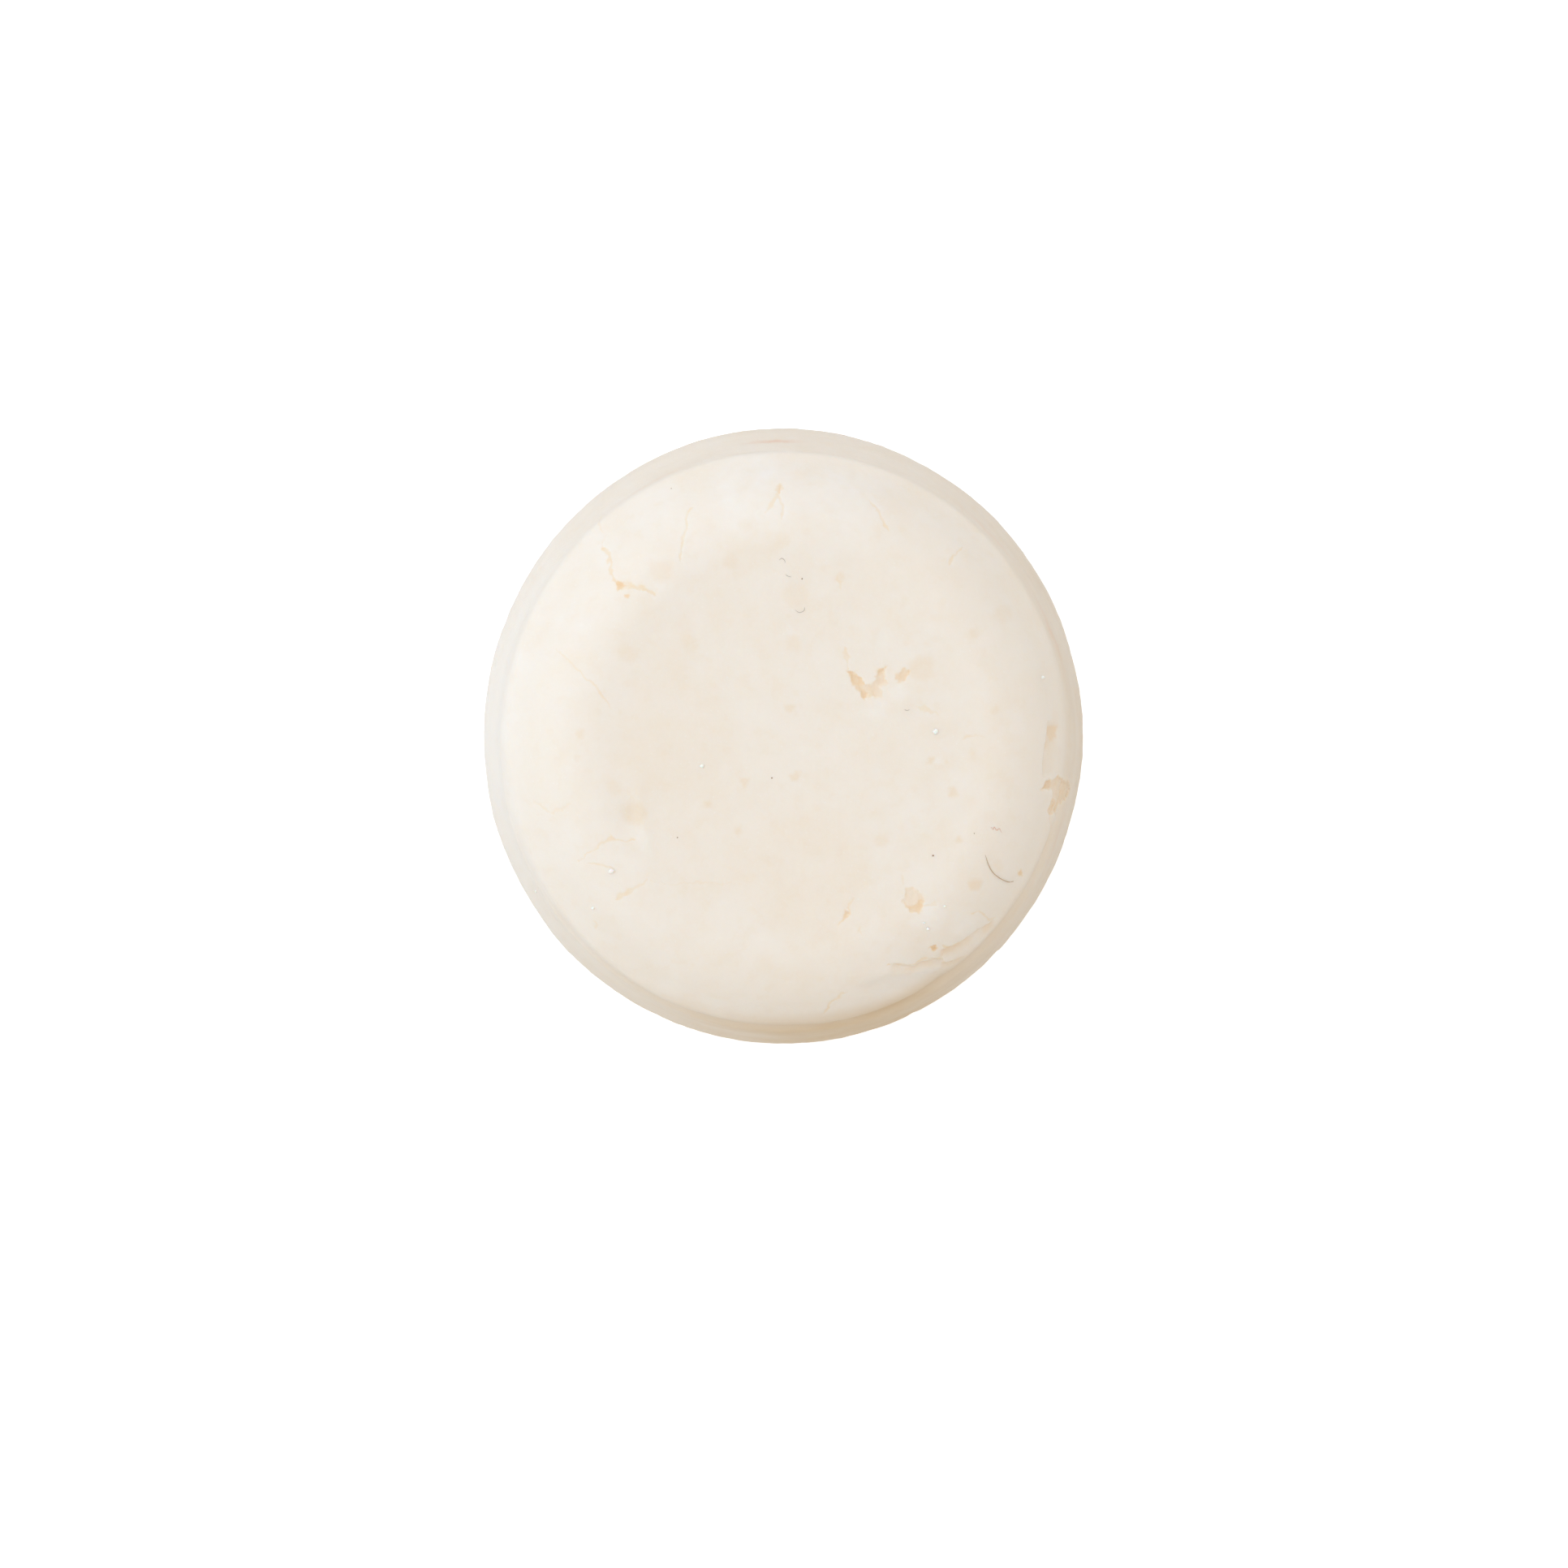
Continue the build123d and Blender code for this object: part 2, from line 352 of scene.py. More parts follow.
def noise(points, size, seed):
    """Smooth noise in -1..1 whose lumps are about one size across."""
    p = np.asarray(points, float) / size
    if p.shape[-1] == 2:
        p = np.concatenate([p, np.zeros(p.shape[:-1] + (1,))], -1)
    cell = np.floor(p).astype(np.int64)
    t = p - cell
    t = t * t * t * (t * (t * 6 - 15) + 10)
    total = np.zeros(p.shape[:-1])
    for dx in (0, 1):
        for dy in (0, 1):
            for dz in (0, 1):
                step = np.array((dx, dy, dz))
                share = np.prod(np.where(step, t, 1 - t), axis=-1)
                total += share * lattice_value(cell + step, seed)
    return total


def layered_noise(points, size, seed, layers=3):
    """Noise with finer, weaker layers on top."""
    return sum(noise(points, size / 2 ** k, seed + 17 * k) / 2 ** k for k in range(layers))


def smooth_step(low, high, value):
    t = np.clip((value - low) / (high - low), 0, 1)
    return t * t * (3 - 2 * t)


def path_distance(points, path):
    """Distance of each point from a line of runs, and how far along the line, 0 to 1."""
    path = np.asarray(path, float)
    lengths = np.linalg.norm(np.diff(path, axis=0), axis=1)
    starts = np.concatenate([[0], np.cumsum(lengths)])
    best = np.full(len(points), 1e9)
    along = np.zeros(len(points))
    for a, b, length, start in zip(path[:-1], path[1:], lengths, starts):
        run = (b - a) / length
        t = np.clip((points - a) @ run, 0, length)
        gap = np.linalg.norm(points - (a + t[:, None] * run), axis=1)
        nearer = gap < best
        best[nearer] = gap[nearer]
        along[nearer] = ((start + t) / starts[-1])[nearer]
    return best, along


def left_distance(points, path):
    """How far each point lies to the left of a line of runs; negative to its right."""
    path = np.asarray(path, float)
    best = np.full(len(points), 1e9)
    side = np.zeros(len(points))
    for a, b in zip(path[:-1], path[1:]):
        length = np.linalg.norm(b - a)
        run = (b - a) / length
        away = points - a
        t = np.clip(away @ run, 0, length)
        gap = np.linalg.norm(away - t[:, None] * run, axis=1)
        nearer = gap < best
        best[nearer] = gap[nearer]
        side[nearer] = (away @ np.array([-run[1], run[0]]))[nearer]
    return side


def depth_inside(points, outline):
    """How far each point lies inside a closed outline; negative outside it."""
    outline = np.asarray(outline, float)
    closed = np.vstack([outline, outline[:1]])
    gap, _ = path_distance(points, closed)
    inside = np.zeros(len(points), bool)
    x, y = points[:, 0], points[:, 1]
    for (x1, y1), (x2, y2) in zip(closed[:-1], closed[1:]):
        if y1 != y2:
            crosses = (y1 > y) != (y2 > y)
            inside ^= crosses & (x < (x2 - x1) * (y - y1) / (y2 - y1) + x1)
    return np.where(inside, gap, -gap)


# =================================== the puck's form ===================================

def rounded_line(corners):
    """A line through (radius, z, rounding) corners, each corner an arc, finely stepped."""
    points = [np.array(corners[0][:2])]
    for before, here, after in zip(corners[:-2], corners[1:-1], corners[2:]):
        corner = np.array(here[:2])
        back = np.array(before[:2]) - corner
        on = np.array(after[:2]) - corner
        back, on = back / np.linalg.norm(back), on / np.linalg.norm(on)
        half = math.acos(np.clip(back @ on, -1, 1)) / 2
        centre = corner + (back + on) / np.linalg.norm(back + on) * here[2] / math.sin(half)
        start = corner + back * here[2] / math.tan(half) - centre
        end = corner + on * here[2] / math.tan(half) - centre
        sweep = math.pi - 2 * half
        steps = max(6, int(sweep * here[2] / 0.05))
        for k in range(steps + 1):
            t = k / steps
            points.append(centre + (math.sin((1 - t) * sweep) * start
                                    + math.sin(t * sweep) * end) / math.sin(sweep))
    points.append(np.array(corners[-1][:2]))
    return np.array(points)


class Edge:
    """The puck's section from the middle of its face, over the shoulder, to the foot."""

    def __init__(self):
        line = rounded_line([
            (0, HEIGHT),
            (RADIUS - CROWN_INSET, HEIGHT, SHOULDER_ROUND),
            (RADIUS - CREASE_INSET, CREASE_Z, CREASE_ROUND),
            (RADIUS, BELLY_Z, BELLY_ROUND),
            (RADIUS, 0, FOOT_ROUND),
            (0, 0),
        ])
        self.foot_radius = line[-2, 0]
        line = line[:-1]
        runs = np.linalg.norm(np.diff(line, axis=0), axis=1)
        way = np.concatenate([[0], np.cumsum(runs)])
        self.length = way[-1]
        self.way = np.linspace(0, self.length, 4000)
        self.radius = np.interp(self.way, way, line[:, 0])
        self.z = np.interp(self.way, way, line[:, 1])
        slope_r, slope_z = np.gradient(self.radius, self.way), np.gradient(self.z, self.way)
        self.normal_r, self.normal_z = -slope_z, slope_r
        widest = int(np.argmax(self.radius >= RADIUS - 0.001))
        self.crease_way = float(np.interp(-CREASE_Z, -self.z, self.way))
        self.upper_way = self.way[:widest]
        self.upper_radius = self.radius[:widest] + np.linspace(0, 1e-6, widest)

    def place(self, spread):
        """Spread-out face coordinates to places and outward normals on the puck."""
        way = np.minimum(np.linalg.norm(spread, axis=1), self.length)
        turn = spread / np.maximum(np.linalg.norm(spread, axis=1), 1e-9)[:, None]
        radius, z = np.interp(way, self.way, self.radius), np.interp(way, self.way, self.z)
        out, up = (np.interp(way, self.way, self.normal_r),
                   np.interp(way, self.way, self.normal_z))
        places = np.stack([radius * turn[:, 0], radius * turn[:, 1] * OVAL, z], 1)
        normals = np.stack([out * turn[:, 0] * OVAL, out * turn[:, 1], up], 1)
        return places, normals / np.linalg.norm(normals, axis=1)[:, None]

    def spread_plan(self, plan):
        """Places seen from above to spread-out coordinates."""
        plan = np.asarray(plan, float) * (1, 1 / OVAL)
        reach = np.linalg.norm(plan, axis=-1)
        way = np.interp(reach, self.upper_radius, self.upper_way)
        return plan * (way / np.maximum(reach, 1e-9))[..., None]

    def spread_wall(self, angle, z):
        """A place on the wall, by its angle from +X and its height, spread out."""
        way = np.interp(-z, -self.z[self.z < HEIGHT - 0.01], self.way[self.z < HEIGHT - 0.01])
        return way * np.array([math.cos(math.radians(angle)), math.sin(math.radians(angle))])


EDGE = Edge()


def hex_grid(spacing, reach):
    """Points of an even triangular grid covering a disc."""
    rows = np.arange(-reach, reach, spacing * math.sqrt(3) / 2)
    columns = np.arange(-reach, reach, spacing)
    x, y = np.meshgrid(columns, rows)
    x = x + (np.arange(len(rows)) % 2)[:, None] * spacing / 2
    points = np.stack([x.ravel(), y.ravel()], 1)
    return points[np.linalg.norm(points, axis=1) < reach]


def wear_lines():
    """Every line that needs a fine mesh, in spread-out coordinates."""
    lines = [EDGE.spread_plan(path) for path, _, _ in CRACKS.values()]
    lines += [EDGE.spread_plan(path) for path, *_ in STEPS.values()]
    for outline, *_ in PITS.values():
        lines.append(EDGE.spread_plan(outline + outline[:1]))
    return lines


def wear_gap(points):
    """Distance from each point to the nearest crack or to a hole's side or inside."""
    gap = np.full(len(points), 1e9)
    for line in wear_lines():
        low, high = line.min(0) - 2, line.max(0) + 2
        near = np.all((points > low) & (points < high), axis=1)
        if near.any():
            gap[near] = np.minimum(gap[near], path_distance(points[near], line)[0])
    for outline, *_ in PITS.values():
        gap = np.where(depth_inside(points, EDGE.spread_plan(outline)) > 0, 0, gap)
    return gap


def face_points():
    """Spread-out points: even over the puck, dense along the wear."""
    shoulder_end = EDGE.upper_way[-1] * FACE_SHARE
    reach_all = EDGE.length - RIM_GAP
    coarse = hex_grid(FACE_SPACING, reach_all)
    reach = np.linalg.norm(coarse, axis=1)
    coarse = coarse[reach < shoulder_end]
    wall = hex_grid(WALL_SPACING, reach_all)
    wall = wall[np.linalg.norm(wall, axis=1) >= shoulder_end]
    even = np.vstack([coarse, wall])
    even = even[wear_gap(even) > FINE_REACH]
    fine = hex_grid(FINE_SPACING, reach_all)
    fine = fine[wear_gap(fine) <= FINE_REACH]
    shift = np.stack([noise(fine, 0.2, 5), noise(fine, 0.2, 6)], 1) * FINE_SHAKE
    rim = np.arange(RIM_POINTS) * 2 * math.pi / RIM_POINTS
    rim = EDGE.length * np.stack([np.cos(rim), np.sin(rim)], 1)
    return np.vstack([rim, even, fine + shift])


# ===================================== the wear =====================================

def ragged(points, size, amount, seed):
    """Points pushed about, so that whatever is measured from them gets a torn edge."""
    push = np.stack([layered_noise(points, size, seed), layered_noise(points, size, seed + 3)],
                    1)
    return points + amount * push


def carve_cracks(points, relief, amber):
    bent = ragged(points, 0.9, 0.22, 11)
    swell = 0.85 + 0.6 * noise(points, 0.9, 23)
    patchy = 0.9 + 0.35 * noise(points, 0.7, 27)
    for path, width, tint in CRACKS.values():
        gap, along = path_distance(bent, EDGE.spread_plan(path))
        half = width * 0.85 * swell * np.minimum(1, 0.35 + 4 * np.minimum(along, 1 - along))
        share = np.clip(1 - gap / np.maximum(half, 0.03), 0, 1)
        relief -= CRACK_STEEPNESS * width * np.sqrt(share)
        np.maximum(amber, 1.25 * tint * smooth_step(0, 0.6, share) * patchy, out=amber)


def carve_pits(points, relief, stain):
    bent = ragged(points, 0.5, 0.17, 31)
    floor = layered_noise(points, 0.7, 37)
    for outline, depth, tint in PITS.values():
        inside = depth_inside(bent, EDGE.spread_plan(outline))
        share = smooth_step(-0.06, 0.42, inside)
        relief -= depth * share * (1 + 0.22 * floor)
        np.maximum(stain, tint * smooth_step(-0.10, 0.16, inside) * (0.95 + 0.2 * floor),
                   out=stain)


def carve_steps(points, relief, stain):
    bent = ragged(points, 0.8, 0.16, 41)
    patchy = 0.75 + 0.6 * layered_noise(points, 1.6, 43)
    for path, reach, depth, tint in STEPS.values():
        line = EDGE.spread_plan(path)
        _, along = path_distance(bent, line)
        side = left_distance(bent, line)
        share = smooth_step(-0.05, 0.14, side) * smooth_step(1.0, 0.1, side / reach)
        share *= smooth_step(0, 0.12, np.minimum(along, 1 - along))
        relief -= depth * share
        np.maximum(stain, tint * share * patchy, out=stain)


def carve_scars(points, relief, stain):
    bent = ragged(points, 0.8, 0.14, 45)
    for outline, depth, softness, tint in SCARS.values():
        share = smooth_step(-0.04, softness, depth_inside(bent, EDGE.spread_plan(outline)))
        relief -= depth * share
        np.maximum(stain, tint * share, out=stain)


def swell_face(plan, relief):
    for (x, y), (across, up), turn, height in SWELLS:
        c, s = math.cos(math.radians(turn)), math.sin(math.radians(turn))
        away = plan - (x, y)
        u = (away[:, 0] * c + away[:, 1] * s) / across
        v = (away[:, 1] * c - away[:, 0] * s) / up
        relief += height * np.exp(-1.2 * (u * u + v * v))


def bite_edge(points, relief):
    bent = ragged(points, 0.8, 0.2, 51)
    for angle, z, width, depth in EDGE_NICKS:
        gap = np.linalg.norm(bent - EDGE.spread_wall(angle, z), axis=1)
        relief -= depth * smooth_step(1, 0.2, gap / width)


def facing(points, angle):
    """How far each point is on the side of the puck at an angle from +X, -1 to 1."""
    way = np.array([math.cos(math.radians(angle)), math.sin(math.radians(angle))])
    return points @ way / np.maximum(np.linalg.norm(points, axis=1), 1e-9)


def towards(points, angle):
    """1 on the side of the puck at an angle from +X, down to 0 a quarter turn away."""
    return np.maximum(0, facing(points, angle))


def press_groove(points, relief):
    """The line that the two halves of the die left, soft and unevenly deep."""
    front = facing(points, -90)
    depth = GROOVE_DEPTH + GROOVE_SWING * front
    line = EDGE.crease_way + GROOVE_DROP * (0.5 + 0.5 * front) + 0.2 * noise(points, 9.0, 57)
    gap = np.linalg.norm(points, axis=1) - line
    relief -= depth * np.exp(-(gap / GROOVE_WIDTH) ** 2)


def press_marks(points, places, relief):
    """The unevenness left by pressing and handling, from broad to fine."""
    reach = np.linalg.norm(points, axis=1)
    on_face = smooth_step(EDGE.upper_way[-1] * 0.75, 20, reach)
    on_wall = smooth_step(EDGE.crease_way, EDGE.crease_way + 2.5, reach)
    relief += 0.07 * noise(places, 9, 61) + 0.030 * noise(places, 3.5, 62)
    relief += 0.012 * layered_noise(places, 0.9, 63)
    drag = places * (1, 0.12, 1)
    relief += on_face * 0.010 * layered_noise(drag, 0.8, 64)
    angle = np.arctan2(points[:, 1], points[:, 0])
    round_wall = np.stack([np.cos(angle) * 8, np.sin(angle) * 8, places[:, 2]], 1)
    relief += on_wall * 0.035 * layered_noise(round_wall, 1.1, 65)
    teeth = np.stack([angle * RADIUS, np.zeros_like(angle), places[:, 2] * 0.12], 1)
    relief += on_wall * 0.028 * noise(teeth, 0.8, 66)
    relief += on_wall * BULGE * towards(points, BULGE_SIDE)
    near_crease = np.exp(-((reach - EDGE.crease_way) / LEFT_FULLNESS_REACH) ** 2)
    relief += LEFT_FULLNESS * near_crease * towards(points, LEFT_SIDE)


def spot_mask(plan, spots, seed):
    """Soft-edged uneven blots, 0 to 1."""
    bent = ragged(plan, 0.9, 0.20, seed)
    mask = np.zeros(len(plan))
    for centre, radius, strength in spots:
        gap = np.linalg.norm(bent - centre, axis=1) / radius
        np.maximum(mask, strength * smooth_step(1.25, 0.65, gap), out=mask)
    return mask


def age_and_shade_mask(points, places):
    """Painted shade in the crease and down the wall, most of it at the front, with some older,
    browner soap.
    """
    angle = np.arctan2(points[:, 1], points[:, 0])
    drawn_out = np.stack([angle * RADIUS / 4, np.zeros_like(angle), places[:, 2]], 1)
    streaks = 0.9 + 0.25 * layered_noise(drawn_out, 2.5, 75)
    share = AGE_AND_SHADE_ALL_ROUND
    for side, most, narrowness in AGE_AND_SHADE_SIDES:
        share = share + most * towards(points, side) ** narrowness
    front = towards(points, AGE_AND_SHADE_FRONT)
    upper = CREASE_Z + AGE_AND_SHADE_RISE + AGE_AND_SHADE_FRONT_RISE * front ** 2
    return share * streaks * smooth_step(upper, upper - AGE_AND_SHADE_FADE - front, places[:, 2])


def painted_light_band_mask(points, places):
    """Painted light: paler bands on the right of the shoulder and the left of the wall."""
    inset = RADIUS - np.hypot(places[:, 0], places[:, 1] / OVAL)
    mask = np.zeros(len(points))
    for side, middle, width, most, narrowness in PAINTED_LIGHT_BANDS:
        band = np.exp(-((inset - middle) / width) ** 2)
        mask += most * band * towards(points, side) ** narrowness
    return mask


def wall_smear_mask(points):
    mask = np.zeros(len(points))
    bent = ragged(points, 1.2, 0.25, 71)
    for angle, z, (long, high), strength in WALL_SMEARS:
        centre = EDGE.spread_wall(angle, z)
        out = centre / np.linalg.norm(centre)
        away = bent - centre
        u = (away @ np.array([-out[1], out[0]])) / long
        v = (away @ out) / high
        np.maximum(mask, strength * np.exp(-1.5 * (u * u + v * v)), out=mask)
    return mask


# =============================== making Blender objects ===============================

def add_mesh(name, vertices, faces, material):
    """A smooth-shaded mesh piece from millimetre vertices."""
    mesh = bpy.data.meshes.new(name)
    mesh.from_pydata((np.asarray(vertices) * MM).tolist(), [], faces)
    mesh.validate()
    mesh.update()
    mesh.polygons.foreach_set("use_smooth", [True] * len(mesh.polygons))
    mesh.materials.append(material)
    piece = bpy.data.objects.new(name, mesh)
    bpy.context.scene.collection.objects.link(piece)
    return piece


def bridge(outer, inner):
    """Triangles between two rings of vertex numbers, the outer having as many or twice."""
    faces = []
    ratio = len(outer) // len(inner)
    count = len(outer)
    for k in range(count):
        a, b = outer[k], outer[(k + 1) % count]
        i, j = inner[k // ratio], inner[((k + 1) // ratio) % len(inner)]
        faces.append((a, i, b))
        if i != j:
            faces.append((b, i, j))
    return faces


def underside(first_index):
    """Rings of vertices over the flat base, their faces, and the middle point."""
    vertices, faces = [], []
    outer = list(range(RIM_POINTS))
    for radius, count in UNDERSIDE_RINGS:
        turn = np.arange(count) * 2 * math.pi / count
        ring = np.stack([radius * np.cos(turn), radius * OVAL * np.sin(turn),
                         np.zeros(count)], 1)
        lift = np.maximum(0, UNDERSIDE_HOLLOWS * layered_noise(ring, 4.0, 81) - 0.02)
        ring[:, 2] = lift * smooth_step(EDGE.foot_radius, HOLLOWS_RADIUS, radius)
        inner = list(range(first_index + len(vertices), first_index + len(vertices) + count))
        vertices.extend(ring)
        faces.extend(bridge(outer, inner))
        outer = inner
    middle = first_index + len(vertices)
    vertices.append(np.array((0.0, 0.0, 0.0)))
    faces.extend((outer[k], middle, outer[(k + 1) % len(outer)]) for k in range(len(outer)))
    return vertices, faces


def store(mesh, name, values):
    layer = mesh.attributes.new(name, "FLOAT", "POINT")
    layer.data.foreach_set("value", np.asarray(values, np.float32))


def make_puck(material):
    points = face_points()
    _, _, triangles, *_ = delaunay_2d_cdt([Vector(p) for p in points], [], [], 0, 1e-7, True)
    places, normals = EDGE.place(points)
    relief, stain, amber = (np.zeros(len(points)) for _ in range(3))
    press_marks(points, places, relief)
    swell_face(places[:, :2], relief)
    press_groove(points, relief)
    bite_edge(points, relief)
    carve_scars(points, relief, stain)
    carve_steps(points, relief, stain)
    carve_cracks(points, relief, amber)
    carve_pits(points, relief, stain)
    reach = np.linalg.norm(points, axis=1)
    relief *= smooth_step(EDGE.length, EDGE.length - 3.0, reach)
    vertices = places + normals * relief[:, None]

    below, below_faces = underside(len(vertices))
    puck = add_mesh("soap_body", np.vstack([vertices, below]),
                    [tuple(t) for t in triangles] + below_faces, material)
    plain = np.zeros(len(below))
    on_top = smooth_step(EDGE.crease_way + 2.5, EDGE.crease_way, reach)
    waxy = spot_mask(places[:, :2], WAXY_SPOTS, 91) * on_top
    chalky_and_lit = spot_mask(places[:, :2], CHALKY_AND_LIT_SPOTS, 95) * on_top
    # chalky places plus painted light on the back of the shoulder, below the flake and in the
    # paler bands
    chalky_and_lit = chalky_and_lit * (0.8 + 0.5 * layered_noise(places, 1.0, 97)) + painted_light_band_mask(points, places)
    for name, values in (("stain", stain), ("amber", amber), ("waxy", waxy),
                         ("chalky_and_lit", chalky_and_lit),
                         # painted shade in the crease and down the wall, with some browner soap
                         ("age_and_shade", age_and_shade_mask(points, places)),
                         ("rust", wall_smear_mask(points))):
        store(puck.data, name, np.concatenate([values, plain]))
    return puck, vertices


# ===================================== materials =====================================

class Nodes:
    """Short ways to add and join shader nodes."""

    def __init__(self, name):
        self.material = bpy.data.materials.new(name)
        self.material.use_nodes = True
        self.tree = self.material.node_tree
        self.shader = self.tree.nodes["Principled BSDF"]

    def add(self, kind, **settings):
        node = self.tree.nodes.new(kind)
        for key, value in settings.items():
            if key in node.inputs:
                self.put(value, node.inputs[key])
            else:
                setattr(node, key, value)
        return node

    def put(self, value, socket):
        if isinstance(value, bpy.types.NodeSocket):
            self.tree.links.new(value, socket)
        elif isinstance(value, tuple) and len(value) == 3 and socket.type == "RGBA":
            socket.default_value = (*value, 1)
        else:
            socket.default_value = value

    def blend(self, share, first, second):
        """Two colours mixed, through the sockets that a Mix node keeps for colours."""
        node = self.tree.nodes.new("ShaderNodeMix")
        node.data_type = "RGBA"
        self.put(share, node.inputs[0])
        self.put(first, node.inputs[6])
        self.put(second, node.inputs[7])
        return node.outputs[2]

    def calculate(self, operation, first, second):
        node = self.tree.nodes.new("ShaderNodeMath")
        node.operation = operation
        self.put(first, node.inputs[0])
        self.put(second, node.inputs[1])
        return node.outputs[0]

    def ramp(self, value, low, high, to_low=0.0, to_high=1.0):
        node = self.add("ShaderNodeMapRange", interpolation_type="SMOOTHSTEP")
        self.put(value, node.inputs[0])
        for k, number in enumerate((low, high, to_low, to_high)):
            node.inputs[k + 1].default_value = number
        return node.outputs[0]

    def stored(self, name):
        return self.add("ShaderNodeAttribute", attribute_name=name).outputs["Fac"]

    def grain(self, where, size, detail=3.0, rough=0.55, stretch=(1, 1, 1)):
        """Noise with lumps about one size across, in millimetres."""
        mapping = self.tree.nodes.new("ShaderNodeMapping")
        self.put(where, mapping.inputs["Vector"])
        mapping.inputs["Scale"].default_value = stretch
        node = self.add("ShaderNodeTexNoise", Scale=1 / (size * MM), Detail=detail,
                        Roughness=rough)
        self.put(mapping.outputs[0], node.inputs["Vector"])
        return node.outputs["Fac"]


def soap_material():
    n = Nodes("ivory_soap")
    where = n.add("ShaderNodeTexCoord").outputs["Object"]
    broad = n.grain(where, 8.0, 2.0)
    patches = n.grain(where, 3.0, 3.0, 0.5)
    spots = n.grain(where, 1.5, 2.0, 0.4)
    grit = n.grain(where, 0.32, 3.0, 0.65)

    colour = n.blend(n.ramp(broad, 0.35, 0.65, 0.06, 0.28), IVORY, WAXY)
    colour = n.blend(n.ramp(patches, 0.44, 0.68, 0.0, 0.30), colour, WAXY)
    colour = n.blend(n.ramp(spots, 0.56, 0.70, 0.0, 0.24), colour, WAXY)
    colour = n.blend(n.ramp(patches, 0.44, 0.28, 0.0, 0.22), colour, PALE_CHALK_AND_LIGHT)
    colour = n.blend(n.stored("waxy"), colour, SPOT)
    # chalky places and painted light
    colour = n.blend(n.stored("chalky_and_lit"), colour, PALE_CHALK_AND_LIGHT)
    flecks = n.add("ShaderNodeTexVoronoi", Scale=1 / (0.9 * MM), Randomness=1.0)
    n.put(where, flecks.inputs["Vector"])
    fleck = n.ramp(flecks.outputs["Distance"], 0.14, 0.07, 0.0, 0.4)
    colour = n.blend(fleck, colour, PALE_CHALK_AND_LIGHT)
    colour = n.blend(n.ramp(grit, 0.3, 0.7, 0.0, 0.16), colour, PALE_CHALK_AND_LIGHT)
    # painted shade in the crease and down the wall, with some older, browner soap
    colour = n.blend(n.stored("age_and_shade"), colour, BROWN_AGE_AND_SHADE)
    colour = n.blend(n.stored("rust"), colour, RUST)
    colour = n.blend(n.stored("amber"), colour, AMBER)
    colour = n.blend(n.stored("stain"), colour, STAIN)
    n.put(colour, n.shader.inputs["Base Color"])

    n.put(n.ramp(patches, 0.3, 0.7, 0.62, 0.50), n.shader.inputs["Roughness"])
    n.put(GLOW_SHARE, n.shader.inputs["Subsurface Weight"])
    n.shader.inputs["Subsurface Radius"].default_value = GLOW_COLOURS
    n.put(GLOW_DEPTH * MM, n.shader.inputs["Subsurface Scale"])
    n.put(SOAP_IOR, n.shader.inputs["IOR"])

    drag = n.grain(where, 0.5, 3.0, 0.6, (1.0, 0.15, 1.0))
    height = n.calculate("ADD", n.calculate("MULTIPLY", grit, GRIT_SHARE),
                         n.calculate("MULTIPLY", drag, DRAG_SHARE))
    bump = n.add("ShaderNodeBump", Strength=GRAIN_STRENGTH, Distance=GRAIN_HEIGHT * MM)
    n.put(height, bump.inputs["Height"])
    n.put(bump.outputs[0], n.shader.inputs["Normal"])
    return n.material


def fibre_material(name, colour):
    n = Nodes(name)
    where = n.add("ShaderNodeTexCoord").outputs["Object"]
    shade = n.grain(where, 0.8, 2.0)
    dark = tuple(c * 0.55 for c in colour)
    n.put(n.blend(shade, dark, colour), n.shader.inputs["Base Color"])
    n.put(FIBRE_ROUGHNESS, n.shader.inputs["Roughness"])
    return n.material


def crumb_material():
    n = Nodes("soap_crumb")
    where = n.add("ShaderNodeTexCoord").outputs["Object"]
    n.put(n.blend(n.grain(where, 0.3), PALE_CHALK_AND_LIGHT, CRUMB_PALE),
          n.shader.inputs["Base Color"])
    n.put(CRUMB_ROUGHNESS, n.shader.inputs["Roughness"])
    n.put(CRUMB_GLOW_SHARE, n.shader.inputs["Subsurface Weight"])
    n.put(CRUMB_GLOW_DEPTH * MM, n.shader.inputs["Subsurface Scale"])
    return n.material


# ===================================== loose dirt =====================================

class Surface:
    """Heights of the finished puck under plan places, for what lies on it."""

    def __init__(self, vertices):
        self.top = vertices[vertices[:, 2] > BELLY_Z]

    def height(self, x, y):
        gap = np.hypot(self.top[:, 0] - x, self.top[:, 1] - y)
        nearest = np.argsort(gap)[:4]
        return float(self.top[nearest, 2].mean())


def tube(route, radius, sides=6):
    """Vertices and faces of a thin round thread with pointed ends."""
    route = np.asarray(route, float)
    ways = np.gradient(route, axis=0)
    ways /= np.linalg.norm(ways, axis=1)[:, None]
    vertices, faces = [], []
    for k, (point, way) in enumerate(zip(route, ways)):
        side = np.cross(way, (0, 0, 1))
        side /= np.linalg.norm(side)
        up = np.cross(side, way)
        taper = min(1.0, 0.35 + 3 * min(k, len(route) - 1 - k) / len(route))
        for s in range(sides):
            a = 2 * math.pi * s / sides
            vertices.append(point + radius * taper * (math.cos(a) * side + math.sin(a) * up))
    for k in range(len(route) - 1):
        for s in range(sides):
            a, b = k * sides + s, k * sides + (s + 1) % sides
            faces.append((a, b, b + sides, a + sides))
    faces.append(tuple(range(sides)))
    faces.append(tuple(range(len(vertices) - 1, len(vertices) - 1 - sides, -1)))
    return vertices, faces


